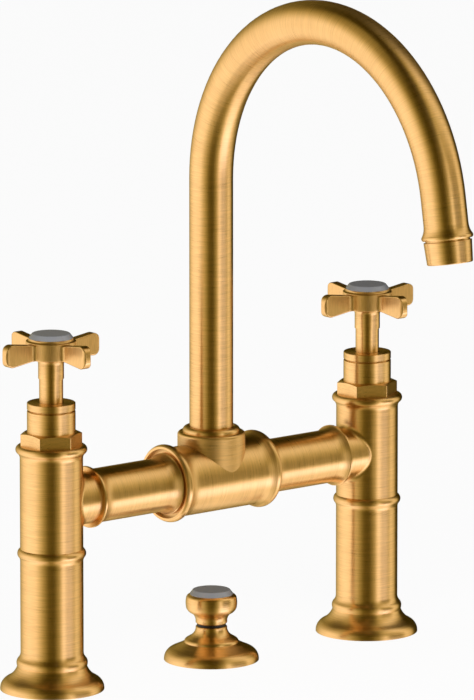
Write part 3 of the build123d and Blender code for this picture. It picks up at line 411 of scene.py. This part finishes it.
# The floor looks white to the camera and still takes a faint shadow. The metal mirrors the studio's table instead.
bpy.ops.mesh.primitive_circle_add(vertices=FLOOR_SIDES, radius=FLOOR_RADIUS, fill_type="NGON", location=(0, 0, 0))
floor = bpy.context.object
floor.name = "floor"
floor_material, floor_tree = new_material("pale_floor")
ray = add(floor_tree, "LightPath")
matt = add(floor_tree, "BsdfDiffuse", {"Color": linear(FLOOR_WHITE)})[0]
glow = add(floor_tree, "Emission", {"Color": WHITE, "Strength": 1.0})[0]
seen = add(floor_tree, "Math", {0: ray["Is Camera Ray"], 1: FLOOR_GLOW}, operation="MULTIPLY")[0]
surface = add(floor_tree, "MixShader", {0: seen, 1: matt, 2: glow})[0]
add(floor_tree, "OutputMaterial", {"Surface": surface})
floor.data.materials.append(floor_material)
floor.visible_glossy = False


def studio_in_metal(tree):
    """The colour that the metal mirrors from each direction: the bands of the studio, one above another."""
    direction = add(tree, "TexCoord")["Generated"]
    parts = add(tree, "SeparateXYZ", {0: direction})
    elevation = add(tree, "Math", {0: parts["Z"]}, operation="ARCSINE")[0]
    to_camera = (-math.sin(VIEW_AZIMUTH), -math.cos(VIEW_AZIMUTH), 0.0)
    to_right = (math.cos(VIEW_AZIMUTH), -math.sin(VIEW_AZIMUTH), 0.0)
    ahead = add(tree, "VectorMath", {0: direction, 1: to_camera}, operation="DOT_PRODUCT")["Value"]
    beside = add(tree, "VectorMath", {0: direction, 1: to_right}, operation="DOT_PRODUCT")["Value"]
    azimuth = add(tree, "Math", {0: beside, 1: ahead}, operation="ARCTAN2")[0]
    turn_round = add(tree, "MapRange", {0: azimuth, 1: -math.pi, 2: math.pi, 3: 0.0, 4: 1.0})[0]

    def panorama(places):
        """One band's light right round the object."""
        band = add(tree, "ValToRGB", {0: turn_round})[0]
        elements = band.node.color_ramp.elements
        while len(elements) < len(places):
            elements.new(0.5)
        for element, (degrees, grey) in zip(elements, places):
            element.position = (degrees + 180) / 360
            element.color = (grey, grey, grey, 1.0)
        return band

    studio = panorama(TABLE)
    for places, start, end in BANDS_ABOVE_TABLE:
        share = add(
            tree,
            "MapRange",
            {0: elevation, 1: math.radians(start), 2: math.radians(end), 3: 0.0, 4: 1.0},
            interpolation_type="SMOOTHSTEP",
        )[0]
        studio = add(tree, "MixRGB", {0: share, 1: studio, 2: panorama(places)})[0]
    red = add(tree, "SeparateXYZ", {0: studio})["X"]
    green = add(tree, "Math", {0: red, 1: GREEN_FALL}, operation="POWER")[0]
    green = add(tree, "Math", {0: green, 1: GREEN_SHARE}, operation="MULTIPLY")[0]
    blue = add(tree, "Math", {0: red, 1: BLUE_FALL}, operation="POWER")[0]
    return add(tree, "CombineColor", {0: red, 1: green, 2: blue})[0]


# The world is a plain white light, a white background to the camera, and the studio where the metal mirrors it.
world = bpy.data.worlds.new("studio")
scene.world = world
world.use_nodes = True
# The world isn't sampled as a lamp, so each ray meets the part of it that is made for that kind of ray.
world.cycles.sampling_method = "NONE"
world_tree = world.node_tree
world_tree.nodes.clear()
mirrored = studio_in_metal(world_tree)
ray = add(world_tree, "LightPath")
plain_light = add(world_tree, "Background", {"Color": WHITE, "Strength": PLAIN_LIGHT})[0]
seen_in_metal = add(world_tree, "Background", {"Color": mirrored, "Strength": STUDIO_STRENGTH})[0]
white = add(world_tree, "Background", {"Color": WHITE, "Strength": 1.0})[0]
surface = add(world_tree, "MixShader", {0: ray["Is Glossy Ray"], 1: plain_light, 2: seen_in_metal})[0]
surface = add(world_tree, "MixShader", {0: ray["Is Camera Ray"], 1: surface, 2: white})[0]
add(world_tree, "OutputWorld", {"Surface": surface})

# The camera aims a little beside the middle of the part, for the photograph's framing.
right = Vector((math.cos(VIEW_AZIMUTH), -math.sin(VIEW_AZIMUTH), 0.0))
up = Vector((
    math.sin(VIEW_AZIMUTH) * math.sin(VIEW_ELEVATION),
    math.cos(VIEW_AZIMUTH) * math.sin(VIEW_ELEVATION),
    math.cos(VIEW_ELEVATION),
))
towards_camera = right.cross(up)
target = Vector((0.0, 0.0, VIEW_HEIGHT)) + right * SHIFT_RIGHT + up * SHIFT_UP
camera_data = bpy.data.cameras.new("camera")
camera_data.sensor_width = LONG_SIDE_SENSOR
camera_data.lens = LENS
camera_data.clip_end = VIEW_REACH
camera = bpy.data.objects.new("camera", camera_data)
scene.collection.objects.link(camera)
turn = Matrix((right, up, towards_camera)).transposed()
camera.matrix_world = Matrix.Translation(target + towards_camera * VIEW_DISTANCE) @ turn.to_4x4()
scene.camera = camera

# One soft lamp above the line of sight lights the porcelain and the floor. It doesn't show in the metal.
lamp_data = bpy.data.lights.new("front_lamp", "AREA")
lamp_data.shape = "RECTANGLE"
lamp_data.size = LAMP_WIDTH
lamp_data.size_y = LAMP_HEIGHT
lamp_data.energy = LAMP_WATTS
lamp = bpy.data.objects.new("front_lamp", lamp_data)
scene.collection.objects.link(lamp)
place = target + towards_camera * LAMP_AHEAD + Vector((0, 0, LAMP_RAISED))
lamp.matrix_world = Matrix.Translation(place) @ (place - target).to_track_quat("Z", "Y").to_matrix().to_4x4()
lamp.visible_glossy = False
